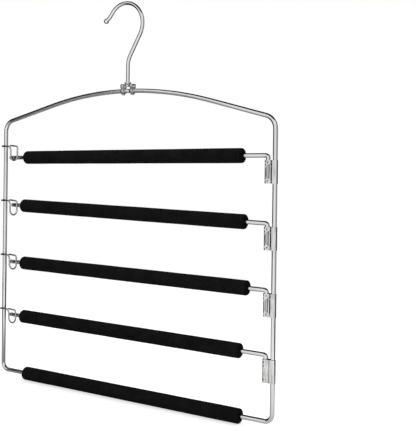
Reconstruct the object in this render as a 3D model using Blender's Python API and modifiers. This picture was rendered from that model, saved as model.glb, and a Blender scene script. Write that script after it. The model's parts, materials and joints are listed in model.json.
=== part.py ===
"""Multi tier trouser hanger: a bent wire frame with four swinging arms.

A closed wire frame hangs from a swivelling hook.  Four arms turn on rolled
sheet brackets at the right side, and a small wire loop at the left side stops
each arm in the plane of the frame.  A foam sleeve covers each arm and the
bottom bar.  The origin is the seat of the hook, where the rail carries it.
"""
import math

import bmesh
import bpy
from mathutils import Vector

# General, in metres
fit = 0.0003
overrun = 0.002

# Frame: one wire, whose two ends meet inside the clamp
frame_width = 0.352
frame_wire = 0.0045
crown_height = 0.3134
crown_radius = 0.428
shoulder_slope = math.radians(14.0)
shoulder_bend = 0.013
bottom_bend = 0.008
wire_end_gap = 0.0016
wire_end_shift = 0.0047
hook_shift = 0.0010

# Hinge brackets: each one is a sheet with a roll along both edges
shoulder_drop = 0.0393
lowest_bracket_top = 0.0573
bracket_height = 0.0218
bracket_sheet = 0.0006
roll_gap = 0.0016
leg_wrap = math.radians(285.0)
frame_wrap = math.radians(238.0)
bracket_shifts = (0.0, 0.0, 0.0, 0.0010)
upper_band = 0.0061
upper_band_slant = 0.0024
lower_band = 0.0062
lower_band_slant = 0.0021
window_left = 0.0004
window_right = 0.0023
dimple_radius = 0.0012
dimple_depth = 0.0003
dimple_high = 0.0066
dimple_low = 0.0031

# Arms, from the top one down
arm_wire = 0.0043
elbow_bend = 0.0026
leg_end_inset = 0.0006
elbow_clearances = (0.00225, 0.00085, 0.00065, 0.00145)
tip_rises = (-0.0049, 0.0046, 0.0020, 0.0018)
tip_insets = (0.008, 0.012, 0.011, 0.011)
wire_chamfer = 0.0004

# Foam sleeves: the bare wire at their ends, from the top arm down
sleeve_diameter = 0.0145
sleeve_rim = 0.0011
bare_by_hinge = (0.0273, 0.0240, 0.0206, 0.0278)
bare_by_tip = (0.0261, 0.0180, 0.0194, 0.0196)
bare_base_right = 0.0352
bare_base_left = 0.0356

# Tip loops: thin wire across the front of the frame wire
loop_wire = 0.0018
loop_rises = (0.0125, 0.0125, 0.0125, 0.0115)
loop_stub = 0.0026
loop_neck = 0.0088
loop_near_leg = 0.0112
loop_far_leg = 0.0219
loop_drops = (0.0160, 0.0160, 0.0155, 0.0146)
loop_end = 0.0106
loop_end_rise = 0.0008
loop_corner = 0.0026

# Clamp that joins the wire ends and carries the hook
clamp_length = 0.0155
clamp_shift = 0.0004
clamp_slot = 0.0085
clamp_depth = 0.0062
clamp_sheet = 0.0008
clamp_waist = math.radians(60.0)
clamp_lobe_shares = (0.0, 0.17, 0.32, 0.47, 0.62, 0.77, 1.0)
shelf_rise = 0.00025
clamp_bend = 0.0008
clamp_fold = 0.0006
lug_length = 0.0012
lug_point = 0.0009

# Hook
hook_wire = 0.0039
hook_radius = 0.0221
hook_eye_height = 0.0694
hook_eye_shift = -0.0038
hook_lean = math.radians(30.0)
stem_bend = 0.020
lip_turn = math.radians(142.0)
lip_straight = 0.0040
lip_bend = 0.008
lip_slope = math.radians(25.0)
tip_straight = 0.0030
tip_ball = 0.0055
ball_shares = (0.0, 0.18, 0.36, 0.54, 0.72, 0.88, 1.0)
ball_turn = math.radians(80.0)
head_diameter = 0.0054
head_height = 0.0016
head_rim = 0.0003
head_step = 0.0001
head_clearance = 0.00215
washer_diameter = 0.0068
washer_height = 0.0017
washer_rim = 0.0005

# Facets: the steps of arcs, the levels of round wires and the sides of turned shapes
wide_step = math.radians(1.8)
bend_step = math.radians(13.0)
hook_step = math.radians(10.0)
roll_step = math.radians(17.0)
fold_step = math.radians(24.0)
loop_step = math.radians(36.0)
wire_level = 3
loop_level = wire_level - 1
foam_sides = 24
washer_sides = 20
bore_sides = 20
dimple_sides = 8
dimple_rings = 6

# The rail lies under the hook wire, on the line about which the hook turns
hook_seat = hook_eye_height + math.sqrt((hook_radius - hook_wire / 2) ** 2 - hook_eye_shift ** 2)
seat_height = crown_height + hook_seat

# The corner of each shoulder, where the slope of the crown would meet the upright
side = frame_width / 2
crown_centre = crown_height - crown_radius
slope_start = crown_radius * math.sin(shoulder_slope)
slope_top = crown_centre + crown_radius * math.cos(shoulder_slope)
shoulder_height = slope_top - (side - slope_start) * math.tan(shoulder_slope)

# The rolls of a bracket, at the middle of its sheet, and the tiers they make
leg_roll = arm_wire / 2 + fit + bracket_sheet / 2
frame_roll = frame_wire / 2 + fit + bracket_sheet / 2
hinge_spacing = leg_roll + frame_roll + bracket_sheet + roll_gap
hinge_side = side - hinge_spacing
tiers = range(len(tip_insets))
lowest = len(tip_insets) - 1
tier_pitch = (shoulder_height - shoulder_drop - lowest_bracket_top) / lowest
bracket_tops = [lowest_bracket_top + tier_pitch * (lowest - tier) + bracket_shifts[tier]
                for tier in tiers]

# The head of the hook clears the wire ends below it, and the clamp closes over it
wire_saddle = frame_wire / 2 + fit + clamp_sheet
clamp_top = frame_wire / 2 + head_clearance + head_height + fit + clamp_sheet
lug_drop = wire_saddle + lug_length


def clear_scene():
    for old in list(bpy.data.objects):
        bpy.data.objects.remove(old, do_unlink=True)


def new_collection(name):
    collection = bpy.data.collections.new(name)
    bpy.context.scene.collection.children.link(collection)
    return collection


def finish(name, colour, roughness, metallic):
    """A Principled material with the finish of one sub-part."""
    material = bpy.data.materials.new(name)
    material.use_nodes = True
    shader = material.node_tree.nodes["Principled BSDF"]
    shader.inputs["Base Color"].default_value = (*colour, 1.0)
    shader.inputs["Roughness"].default_value = roughness
    shader.inputs["Metallic"].default_value = metallic
    material.diffuse_color = (*colour, 1.0)
    return material


def chrome(name):
    return finish(name, (0.78, 0.79, 0.80), 0.12, 1.0)


def foam(name):
    return finish(name, (0.015, 0.015, 0.016), 0.92, 0.0)


def place(name, data, parent, location=(0, 0, 0), turn=(0, 0, 0)):
    """Add one piece to the hanger, on its parent."""
    piece = bpy.data.objects.new(name, data)
    hanger.objects.link(piece)
    piece.parent = parent
    piece.location = location
    piece.rotation_euler = turn
    return piece


def datum(name, parent, location):
    """An empty on a joint's axis, which carries the pieces that turn there."""
    empty = bpy.data.objects.new(name, None)
    hanger.objects.link(empty)
    empty.parent = parent
    empty.location = location
    return empty


def arc(centre, radius, start, stop, step):
    """Points of an arc in the XZ plane, both ends included."""
    count = max(1, math.ceil(abs(stop - start) / step))
    angles = [start + (stop - start) * k / count for k in range(count + 1)]
    return [Vector((centre[0] + radius * math.cos(a), 0, centre[1] + radius * math.sin(a)))
            for a in angles]


def rounded(corners, radii, step):
    """The path through the corners, with an arc in place of each that has a radius."""
    path = [corners[0]]
    for before, corner, after, radius in zip(corners, corners[1:], corners[2:], radii):
        if not radius:
            path.append(corner)
            continue
        back = (before - corner).normalized()
        ahead = (after - corner).normalized()
        opening = back.angle(ahead)
        turn = math.pi - opening
        reach = radius / math.tan(opening / 2)
        centre = corner + (back + ahead).normalized() * radius / math.sin(opening / 2)
        first = corner + back * reach - centre
        last = corner + ahead * reach - centre
        count = max(2, math.ceil(turn / step))
        for k in range(count + 1):
            share = k / count
            spoke = first * math.sin((1 - share) * turn) + last * math.sin(share * turn)
            path.append(centre + spoke / math.sin(turn))
    path.append(corners[-1])
    return path


def wire(name, path, diameter, level, material, parent, location=(0, 0, 0), shares=None):
    """A round wire along a path; its radius may vary, in shares of the wire's own."""
    curve = bpy.data.curves.new(name, 'CURVE')
    curve.dimensions = '3D'
    curve.bevel_depth = diameter / 2
    curve.bevel_resolution = level
    curve.use_fill_caps = True
    spline = curve.splines.new('POLY')
    spline.points.add(len(path) - 1)
    for point, spot, share in zip(spline.points, path, shares or [1.0] * len(path)):
        point.co = (*spot, 1.0)
        point.radius = share
    curve.materials.append(material)
    return place(name, curve, parent, location)


def turned(name, profile, sides, material, parent, location=(0, 0, 0), turn=(0, 0, 0)):
    """A closed profile of (radius, height) points, turned about the Z axis."""
    shape = bmesh.new()
    corners = [shape.verts.new((radius, 0, height)) for radius, height in profile]
    for first, second in zip(corners, corners[1:] + corners[:1]):
        shape.edges.new((first, second))
    mesh = bpy.data.meshes.new(name)
    shape.to_mesh(mesh)
    shape.free()
    mesh.materials.append(material)
    piece = place(name, mesh, parent, location, turn)
    screw = piece.modifiers.new("turn", 'SCREW')
    screw.steps = sides
    screw.render_steps = sides
    screw.use_merge_vertices = True
    screw.merge_threshold = 0.00001
    screw.use_normal_calculate = True
    screw.use_smooth_shade = True
    return piece


def bent_sheet(name, path, sweep, thickness, material, parent, location=(0, 0, 0)):
    """A strip of sheet: the path swept along a straight line, then thickened."""
    shape = bmesh.new()
    corners = [shape.verts.new(spot) for spot in path]
    edges = [shape.edges.new(pair) for pair in zip(corners, corners[1:])]
    swept = bmesh.ops.extrude_edge_only(shape, edges=edges)["geom"]
    far_side = [item for item in swept if isinstance(item, bmesh.types.BMVert)]
    bmesh.ops.translate(shape, verts=far_side, vec=sweep)
    mesh = bpy.data.meshes.new(name)
    shape.to_mesh(mesh)
    shape.free()
    mesh.materials.append(material)
    piece = place(name, mesh, parent, location)
    shell = piece.modifiers.new("sheet", 'SOLIDIFY')
    shell.thickness = thickness
    shell.offset = 0
    shell.use_even_offset = True
    return piece


def cutter(name, mesh, parent, location=(0, 0, 0)):
    """A tool that stays in the file, hidden from renders."""
    tool = bpy.data.objects.new(name, mesh)
    cutters.objects.link(tool)
    tool.parent = parent
    tool.location = location
    tool.hide_render = True
    tool.display_type = 'WIRE'
    return tool


def prism(name, outline, front, back):
    """A mesh of a closed XZ outline, from one Y to another."""
    shape = bmesh.new()
    corners = [shape.verts.new((x, front, z)) for x, z in outline]
    face = shape.faces.new(corners)
    swept = bmesh.ops.extrude_face_region(shape, geom=[face])["geom"]
    far_side = [item for item in swept if isinstance(item, bmesh.types.BMVert)]
    bmesh.ops.translate(shape, verts=far_side, vec=(0, back - front, 0))
    bmesh.ops.recalc_face_normals(shape, faces=shape.faces)
    mesh = bpy.data.meshes.new(name)
    shape.to_mesh(mesh)
    shape.free()
    return mesh


def cut(piece, tool):
    """Take the tool's shape out of the piece."""
    step = piece.modifiers.new(tool.name, 'BOOLEAN')
    step.operation = 'DIFFERENCE'
    step.solver = 'EXACT'
    step.object = tool


def frame_path():
    """The frame wire, from its right end in the clamp round to its left end."""
    right_rest = math.asin((wire_end_shift + wire_end_gap / 2) / crown_radius)
    left_rest = math.asin((wire_end_shift - wire_end_gap / 2) / crown_radius)
    upright = math.pi / 2
    centre = (0, crown_centre)
    right = arc(centre, crown_radius, upright - right_rest, upright - shoulder_slope, wide_step)
    left = arc(centre, crown_radius, upright + shoulder_slope, upright - left_rest, wide_step)
    corners = [
        right[-1],
        Vector((side, 0, shoulder_height)),
        Vector((side, 0, 0)),
        Vector((-side, 0, 0)),
        Vector((-side, 0, shoulder_height)),
        left[0],
    ]
    bends = (shoulder_bend, bottom_bend, bottom_bend, shoulder_bend)
    return right[:-1] + rounded(corners, bends, bend_step) + left[1:]


def sleeve_profile(length, bore):
    """A foam tube with softened rims, as a closed profile about its own middle."""
    outer = sleeve_diameter / 2
    half = length / 2
    soft = sleeve_rim * (1 - math.cos(math.pi / 4))
    edge = [(outer - sleeve_rim, half), (outer - soft, half - soft), (outer, half - sleeve_rim)]
    lower = [(radius, -height) for radius, height in reversed(edge)]
    inner = bore / 2 + fit
    return edge + lower + [(inner, -half), (inner, half)]


def base_sleeve_place():
    """The length of the sleeve on the bottom bar, and its middle."""
    right = side - bare_base_right
    left = bare_base_left - side
    return right - left, (right + left) / 2


def arm_ends(tier):
    """The elbow and the tip of an arm, as sharp corners about its hinge."""
    elbow = Vector((0, 0, arm_wire / 2 + elbow_clearances[tier]))
    reach = frame_width - hinge_spacing - tip_insets[tier]
    return elbow, elbow + Vector((-reach, 0, tip_rises[tier]))


def arm_path(tier):
    """One arm about its hinge, both ends chamfered: up the leg, round the elbow, out to the tip."""
    elbow, tip = arm_ends(tier)
    foot = Vector((0, 0, leg_end_inset - bracket_height))
    bend = rounded([foot, elbow, tip], (elbow_bend,), bend_step)[1:-1]
    above_foot = foot + Vector((0, 0, wire_chamfer))
    before_tip = tip + (elbow - tip).normalized() * wire_chamfer
    return [foot, above_foot] + bend + [before_tip, tip]


def build_arm(tier, hinge):
    number = tier + 1
    path = arm_path(tier)
    end_share = 1 - 2 * wire_chamfer / arm_wire
    shares = [end_share] + [1.0] * (len(path) - 2) + [end_share]
    wire(f"arm_wire_{number}", path, arm_wire, wire_level, chrome(f"arm_chrome_{number}"), hinge,
         shares=shares)
    elbow, tip = arm_ends(tier)
    along = (tip - elbow).normalized()
    right = elbow + along * bare_by_hinge[tier]
    left = tip - along * bare_by_tip[tier]
    slope = math.atan2(tip.z - elbow.z, elbow.x - tip.x)
    turned(f"arm_sleeve_{number}", sleeve_profile((right - left).length, arm_wire), foam_sides,
           foam(f"arm_foam_{number}"), hinge, (right + left) / 2, (0, math.pi / 2 + slope, 0))


def bracket_path():
    """The bracket seen from above: a roll round the leg, a plate, a roll round the frame wire."""
    rear = math.pi / 2
    leg = arc((-hinge_spacing, 0), leg_roll, rear + leg_wrap, rear, roll_step)
    frame = arc((0, 0), frame_roll, rear, rear - frame_wrap, roll_step)
    return [Vector((spot.x, spot.z, 0)) for spot in leg + frame]


def build_bracket(tier):
    """The top three have the plate at the rear, and the lowest has it at the front."""
    number = tier + 1
    facing = -1 if tier == lowest else 1
    path = [Vector((spot.x, facing * spot.y, 0)) for spot in bracket_path()]
    base = (side, 0, bracket_tops[tier] - bracket_height)
    bracket = bent_sheet(f"hinge_bracket_{number}", path, (0, 0, bracket_height), bracket_sheet,
                         chrome(f"bracket_chrome_{number}"), frame_datum, base)
    roll = leg_roll + bracket_sheet / 2
    left = -hinge_spacing - window_left
    right = -hinge_spacing + window_right
    top = bracket_height - upper_band
    outline = [(left, lower_band), (right, lower_band - lower_band_slant),
               (right, top + upper_band_slant), (left, top)]
    tool = prism(f"window_tool_{number}", outline, -facing * (roll + overrun), 0)
    cut(bracket, cutter(f"window_cutter_{number}", tool, frame_datum, base))
    plate_face = facing * (max(frame_roll, leg_roll) + bracket_sheet / 2)
    shape = bmesh.new()
    for height in (dimple_low, bracket_height - dimple_high):
        depth = plate_face + facing * (dimple_radius - dimple_depth)
        ball = bmesh.ops.create_uvsphere(shape, u_segments=dimple_sides, v_segments=dimple_rings,
                                         radius=dimple_radius)
        bmesh.ops.translate(shape, verts=ball["verts"], vec=(-hinge_spacing, depth, height))
    mesh = bpy.data.meshes.new(f"dimple_tool_{number}")
    shape.to_mesh(mesh)
    shape.free()
    cut(bracket, cutter(f"dimple_cutter_{number}", mesh, frame_datum, base))


def loop_path(tier):
    """A tip loop in the XZ plane, from its welded stub round to its free end."""
    crook_radius = (loop_far_leg - loop_near_leg) / 2
    crook_centre = ((loop_far_leg + loop_near_leg) / 2, crook_radius - loop_drops[tier])
    crook = arc(crook_centre, crook_radius, math.pi, 2 * math.pi, loop_step)
    shoulder = loop_corner + loop_wire / 2
    near_side = [
        Vector((-loop_stub, 0, 0)),
        Vector((loop_neck, 0, 0)),
        Vector((loop_near_leg, 0, -shoulder)),
        crook[0],
    ]
    far_side = [
        crook[-1],
        Vector((loop_far_leg, 0, 0)),
        Vector((loop_end, 0, loop_end_rise)),
    ]
    start = rounded(near_side, (loop_corner / 2, loop_corner), fold_step)
    close = rounded(far_side, (loop_corner,), fold_step)
    return start[:-1] + crook + close[1:]


def build_loop(tier):
    number = tier + 1
    depth = -(max(frame_wire, arm_wire) + loop_wire) / 2 - fit
    wire(f"tip_loop_{number}", loop_path(tier), loop_wire, loop_level,
         chrome(f"loop_chrome_{number}"), frame_datum,
         (-side, depth, bracket_tops[tier] + loop_rises[tier]))


def clamp_path():
    """The clamp's section in YZ: lug, saddle round the wire, shelf and top, then back down."""
    half = clamp_sheet / 2
    saddle = wire_saddle - half
    lug = half + fit / 2
    wall = clamp_depth / 2 - half
    lowest_turn = -math.acos(lug / saddle)
    span = clamp_waist - lowest_turn
    turns = [lowest_turn + span * share for share in clamp_lobe_shares]
    lobe = [Vector((0, saddle * math.cos(turn), saddle * math.sin(turn))) for turn in turns]
    corners = [Vector((0, lug, -lug_drop))] + lobe + [
        Vector((0, wall, wire_saddle + shelf_rise)),
        Vector((0, wall, clamp_top - half)),
        Vector((0, 0, clamp_top - half)),
    ]
    plain = (0,) * (len(lobe) - 2)
    folds = (clamp_fold,) + plain + (clamp_fold, clamp_bend, clamp_bend)
    right = rounded(corners, folds, fold_step)
    left = [Vector((0, -spot.y, spot.z)) for spot in reversed(right)]
    return right[:-1] + left


def build_clamp():
    half_length = clamp_length / 2
    path = [spot + Vector((-half_length, 0, 0)) for spot in clamp_path()]
    clamp = bent_sheet("hook_clamp", path, (clamp_length, 0, 0), clamp_sheet,
                       chrome("clamp_chrome"), frame_datum,
                       (hook_shift + clamp_shift, 0, crown_height))
    slot = clamp_slot / 2
    middle = (half_length + slot) / 2
    side_cut = half_length + overrun
    lug_side = lug_point - lug_drop
    below = -lug_drop - overrun
    slot_top = clamp_top - clamp_sheet - fit
    half_outline = [(slot, slot_top), (slot, lug_side), (middle, -lug_drop),
                    (half_length, lug_side), (side_cut, lug_side), (side_cut, below)]
    mirrored = [(-x, z) for x, z in reversed(half_outline)]
    depth = wire_saddle + overrun
    tool = prism("leg_tool", half_outline + mirrored, -depth, depth)
    cut(clamp, cutter("leg_cutter", tool, frame_datum,
                      (hook_shift + clamp_shift, 0, crown_height)))
    shape = bmesh.new()
    bore = hook_wire / 2 + fit
    bmesh.ops.create_cone(shape, cap_ends=True, segments=bore_sides, radius1=bore, radius2=bore,
                          depth=2 * (clamp_sheet + overrun))
    mesh = bpy.data.meshes.new("stem_tool")
    shape.to_mesh(mesh)
    shape.free()
    cut(clamp, cutter("stem_cutter", mesh, frame_datum, (hook_shift, 0, crown_height + clamp_top)))


def hook_path():
    """The hook in the XZ plane above the crown, and its radius as shares of the wire's."""
    plain = hook_wire / 2
    head = head_diameter / 2
    head_top = clamp_top - clamp_sheet - fit
    foot = head_top - head_height
    path = [Vector((0, 0, height)) for height in
            (foot, foot + head_rim, head_top - head_rim, head_top, head_top + head_step)]
    shares = [(head - head_rim) / plain, head / plain, head / plain, (head - head_rim) / plain, 1.0]
    eye = Vector((hook_eye_shift, 0, hook_eye_height))
    touch = eye + Vector((math.cos(hook_lean), 0, -math.sin(hook_lean))) * hook_radius
    corner = Vector((0, 0, touch.z - touch.x / math.tan(hook_lean)))
    lean = rounded([path[-1], corner, touch], (stem_bend,), hook_step)
    bow = arc((eye.x, eye.z), hook_radius, -hook_lean, lip_turn, hook_step)
    heading = Vector((-math.sin(lip_turn), 0, math.cos(lip_turn)))
    flat = Vector((-math.cos(lip_slope), 0, -math.sin(lip_slope)))
    reach = lip_bend * math.tan(heading.angle(flat) / 2)
    lip = bow[-1] + heading * (lip_straight + reach)
    ball_centre = lip + flat * (reach + tip_straight)
    outer = rounded([bow[-1], lip, ball_centre], (lip_bend,), hook_step)
    path += lean[1:-1] + bow + outer[1:-1]
    shares += [1.0] * (len(path) - len(shares))
    ball = tip_ball / 2
    start = -math.acos(plain / ball)
    for share in ball_shares:
        turn = start + (ball_turn - start) * share
        path.append(ball_centre + flat * ball * math.sin(turn))
        shares.append(ball * math.cos(turn) / plain)
    return path, shares


def build_hook():
    path, shares = hook_path()
    wire("hook_wire", path, hook_wire, wire_level, chrome("hook_chrome"), hook_swivel, shares=shares)
    outer = washer_diameter / 2
    bore = hook_wire / 2 + fit
    seat = clamp_top + fit
    top = seat + washer_height
    profile = [(outer - washer_rim, top), (outer, top - washer_rim), (outer, seat + washer_rim),
               (outer - washer_rim, seat), (bore, seat), (bore, top)]
    turned("hook_washer", profile, washer_sides, chrome("washer_chrome"), hook_swivel)


clear_scene()
hanger = new_collection("trouser_hanger")
cutters = new_collection("hanger_cutters")
frame_datum = datum("frame_datum", None, (-hook_shift, 0, -seat_height))
hook_swivel = datum("hook_swivel", frame_datum, (hook_shift, 0, crown_height))

wire("frame_wire", frame_path(), frame_wire, wire_level, chrome("frame_chrome"), frame_datum)
build_clamp()
build_hook()
base_length, base_middle = base_sleeve_place()
turned("base_sleeve", sleeve_profile(base_length, frame_wire), foam_sides, foam("base_foam"),
       frame_datum, (base_middle, 0, 0), (0, math.pi / 2, 0))
for tier_index in tiers:
    build_bracket(tier_index)
    build_loop(tier_index)
    arm_hinge = datum(f"arm_{tier_index + 1}_hinge", frame_datum,
                      (hinge_side, 0, bracket_tops[tier_index]))
    build_arm(tier_index, arm_hinge)
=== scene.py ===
import json
import math

import bmesh
import bpy
from mathutils import Matrix, Vector

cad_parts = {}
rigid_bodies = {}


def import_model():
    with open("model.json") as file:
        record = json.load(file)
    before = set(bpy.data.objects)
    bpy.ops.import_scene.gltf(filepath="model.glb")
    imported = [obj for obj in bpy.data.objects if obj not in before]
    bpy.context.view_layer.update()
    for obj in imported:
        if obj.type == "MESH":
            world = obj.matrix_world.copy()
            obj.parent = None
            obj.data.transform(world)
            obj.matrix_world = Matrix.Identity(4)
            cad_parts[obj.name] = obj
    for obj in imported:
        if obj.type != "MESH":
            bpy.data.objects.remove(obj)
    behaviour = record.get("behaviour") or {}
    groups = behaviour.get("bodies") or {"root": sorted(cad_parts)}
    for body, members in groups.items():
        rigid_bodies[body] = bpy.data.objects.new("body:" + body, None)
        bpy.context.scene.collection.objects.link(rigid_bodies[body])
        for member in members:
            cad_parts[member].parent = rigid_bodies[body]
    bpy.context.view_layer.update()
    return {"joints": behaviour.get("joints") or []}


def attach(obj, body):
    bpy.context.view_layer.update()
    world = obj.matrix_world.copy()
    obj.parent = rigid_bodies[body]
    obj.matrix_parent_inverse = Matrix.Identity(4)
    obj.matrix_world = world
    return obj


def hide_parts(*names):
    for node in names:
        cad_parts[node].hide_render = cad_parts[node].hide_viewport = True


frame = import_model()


# Frame wire: one chromed steel wire, bent cold into a low crown, two shoulders, two
# uprights and the bottom bar. It was drawn round, so faint lines run along it, and its
# two ends meet inside the clamp with a small gap.
bar_level = -0.402588
frame_middle = -0.0010
frame_diameter = 0.0045
frame_side = 0.176
right_side = 0.1756
crown_height = 0.3134
crown_radius = 0.428
shoulder_slope = math.radians(14.0)
shoulder_bend = 0.013
bottom_bend = 0.008
wire_end_gap = 0.0016
wire_end_shift = 0.0047
wire_edge = 0.0004
wire_waver = 0.0003
wire_tone = (0.80, 0.81, 0.82)
round_turns = [math.radians(a) for a in (0, 30, 60, 90)]
cloud_shade = 0.90
# Painted shade: the share of the tone left on an arm's leg where it sits inside its bracket.
painted_bracket_shade = 0.62
smear_shade = 0.40


def add(tree, kind, inputs=None, **settings):
    """A node with its settings; each input takes a value or another node's output."""
    step = tree.nodes.new(kind)
    for name, value in settings.items():
        setattr(step, name, value)
    for name, value in (inputs or {}).items():
        socket = step.inputs[name]
        if isinstance(value, bpy.types.NodeSocket):
            tree.links.new(value, socket)
        else:
            socket.default_value = value
    return step


def new_tree(name, sockets):
    """A geometry node group with named inputs and one result."""
    tree = bpy.data.node_groups.new(name, 'GeometryNodeTree')
    for label, kind in sockets:
        tree.interface.new_socket(label, in_out='INPUT', socket_type="NodeSocket" + kind)
    tree.interface.new_socket("Result", in_out='OUTPUT', socket_type='NodeSocketGeometry')
    return tree, add(tree, 'NodeGroupInput').outputs


def finish_tree(tree, result, finish, crease=math.radians(35)):
    """Smooth faces with sharp edges at creases, instances made real, and the finish on it."""
    smooth = add(tree, 'GeometryNodeSetShadeSmooth', {0: result, 2: True})
    fold = add(tree, 'GeometryNodeInputMeshEdgeAngle')
    sharp = add(tree, 'FunctionNodeCompare', {0: fold.outputs[0], 1: crease},
                data_type='FLOAT', operation='GREATER_THAN')
    edges = add(tree, 'GeometryNodeSetShadeSmooth',
                {0: smooth.outputs[0], 1: sharp.outputs[0], 2: False}, domain='EDGE')
    real = add(tree, 'GeometryNodeRealizeInstances', {0: edges.outputs[0]})
    done = add(tree, 'GeometryNodeSetMaterial', {"Geometry": real.outputs[0], "Material": finish})
    add(tree, 'NodeGroupOutput', {0: done.outputs[0]})
    return tree


def round_wire_tree():
    """A round wire along a path, slightly uneven between its steady ends."""
    tree, given = new_tree("round_wire", [
        ("Path", "Geometry"), ("Diameter", "Float"), ("Sides", "Int"), ("Waver", "Float"),
        ("Steady Length", "Float"), ("Seed", "Int"), ("Finish", "Material")])
    line = add(tree, 'GeometryNodeMeshToCurve', {0: given["Path"]})
    along = add(tree, 'GeometryNodeSplineParameter').outputs["Length"]
    total = add(tree, 'GeometryNodeSplineLength').outputs["Length"]
    behind = add(tree, 'ShaderNodeMath', {0: total, 1: along}, operation='SUBTRACT')
    nearest = add(tree, 'ShaderNodeMath', {0: along, 1: behind.outputs[0]}, operation='MINIMUM')
    eased_to = add(tree, 'ShaderNodeMath', {0: given["Steady Length"], 1: 2.0}, operation='MULTIPLY')
    ease = add(tree, 'ShaderNodeMapRange', {
        "Value": nearest.outputs[0], "From Min": given["Steady Length"],
        "From Max": eased_to.outputs[0]}, interpolation_type='SMOOTHSTEP')
    bend = add(tree, 'ShaderNodeTexNoise', {"W": given["Seed"], "Scale": 11.0, "Detail": 1.0},
               noise_dimensions='4D')
    centred = add(tree, 'ShaderNodeVectorMath', {0: bend.outputs["Color"], 1: (0.5, 0.5, 0.5)},
                  operation='SUBTRACT')
    reach = add(tree, 'ShaderNodeMath', {0: given["Waver"], 1: ease.outputs[0]}, operation='MULTIPLY')
    offset = add(tree, 'ShaderNodeVectorMath', {0: centred.outputs[0], "Scale": reach.outputs[0]},
                 operation='SCALE')
    moved = add(tree, 'GeometryNodeSetPosition', {0: line.outputs[0], "Offset": offset.outputs[0]})
    share = add(tree, 'GeometryNodeInputNamedAttribute', {"Name": "share"}, data_type='FLOAT')
    marked = add(tree, 'GeometryNodeStoreNamedAttribute', {
        0: moved.outputs[0], "Name": "along", "Value": along}, data_type='FLOAT', domain='POINT')
    radius = add(tree, 'ShaderNodeMath', {0: given["Diameter"], 1: 2.0}, operation='DIVIDE')
    ring = add(tree, 'GeometryNodeCurvePrimitiveCircle', {
        "Resolution": given["Sides"], "Radius": radius.outputs[0]})
    spot = add(tree, 'GeometryNodeInputPosition').outputs[0]
    around = add(tree, 'GeometryNodeStoreNamedAttribute', {
        0: ring.outputs[0], "Name": "around", "Value": spot}, data_type='FLOAT_VECTOR', domain='POINT')
    tube = add(tree, 'GeometryNodeCurveToMesh', {
        "Curve": marked.outputs[0], "Profile Curve": around.outputs[0], "Scale": share.outputs[0],
        "Fill Caps": True})
    side = add(tree, 'GeometryNodeInputNamedAttribute', {"Name": "around"}, data_type='FLOAT_VECTOR')
    length = add(tree, 'GeometryNodeInputNamedAttribute', {"Name": "along"}, data_type='FLOAT')
    parts = add(tree, 'ShaderNodeSeparateXYZ', {0: side.outputs[0]})
    grain = add(tree, 'ShaderNodeCombineXYZ', {
        0: parts.outputs[0], 1: parts.outputs[1], 2: length.outputs[0]})
    kept = add(tree, 'GeometryNodeStoreNamedAttribute', {
        0: tube.outputs[0], "Name": "grain", "Value": grain.outputs[0]},
        data_type='FLOAT_VECTOR', domain='POINT')
    return finish_tree(tree, kept.outputs[0], given["Finish"])


round_wire = round_wire_tree()


def arc(centre, radius, start, stop, step=math.radians(3)):
    """Points of an arc in the XZ plane, both ends included."""
    count = max(1, math.ceil(abs(stop - start) / step))
    angles = [start + (stop - start) * k / count for k in range(count + 1)]
    return [Vector((centre[0] + radius * math.cos(a), 0, centre[1] + radius * math.sin(a)))
            for a in angles]


def rounded(corners, radii, step=math.radians(5)):
    """The path through the corners, with an arc in place of each that has a radius."""
    path = [corners[0]]
    for before, corner, after, radius in zip(corners, corners[1:], corners[2:], radii):
        if not radius:
            path.append(corner)
            continue
        back = (before - corner).normalized()
        ahead = (after - corner).normalized()
        opening = back.angle(ahead)
        turn = math.pi - opening
        reach = radius / math.tan(opening / 2)
        centre = corner + (back + ahead).normalized() * radius / math.sin(opening / 2)
        first = corner + back * reach - centre
        last = corner + ahead * reach - centre
        count = max(2, math.ceil(turn / step))
        for k in range(count + 1):
            share = k / count
            spoke = first * math.sin((1 - share) * turn) + last * math.sin(share * turn)
            path.append(centre + spoke / math.sin(turn))
    path.append(corners[-1])
    return path


def filled(path, longest=0.006):
    """The same path with more points on its long straight runs."""
    dense = [path[0]]
    for start, stop in zip(path, path[1:]):
        count = max(1, math.ceil((stop - start).length / longest))
        dense += [start.lerp(stop, k / count) for k in range(1, count + 1)]
    return dense


def sheared_ends(path, diameter, edge=wire_edge):
    """The path with its cut ends broken by a small round, and its radius as shares of the wire's."""
    radius = diameter / 2
    dense = filled(path)
    start = (dense[1] - dense[0]).normalized()
    stop = (dense[-2] - dense[-1]).normalized()
    rounds = [(1 - math.cos(a), 1 - edge * (1 - math.sin(a)) / radius) for a in round_turns]
    points = [dense[0] + start * edge * run for run, _ in rounds] + dense[1:-1]
    points += [dense[-1] + stop * edge * run for run, _ in reversed(rounds)]
    shares = [share for _, share in rounds] + [1.0] * len(dense[1:-1])
    shares += [share for _, share in reversed(rounds)]
    return points, shares


def placed(name, data):
    """A new object for a mesh, a lamp or a camera, in the scene."""
    thing = bpy.data.objects.new(name, data)
    bpy.context.scene.collection.objects.link(thing)
    return thing


def plain_mesh(source, name):
    """The evaluated object as a plain mesh object, which takes its place."""
    graph = bpy.context.evaluated_depsgraph_get()
    mesh = bpy.data.meshes.new_from_object(source.evaluated_get(graph), depsgraph=graph)
    mesh.name = name
    rough = source.data
    bpy.data.objects.remove(source)
    bpy.data.meshes.remove(rough)
    return placed(name, mesh)


def through_tree(name, mesh, tree, values):
    """One mesh taken through a geometry node tree, with its inputs set by name."""
    carrier = placed(name + "_path", mesh)
    step = carrier.modifiers.new(tree.name, 'NODES')
    step.node_group = tree
    for item in tree.interface.items_tree:
        if item.in_out == 'INPUT' and item.name in values:
            step[item.identifier] = values[item.name]
    return plain_mesh(carrier, name)


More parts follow.
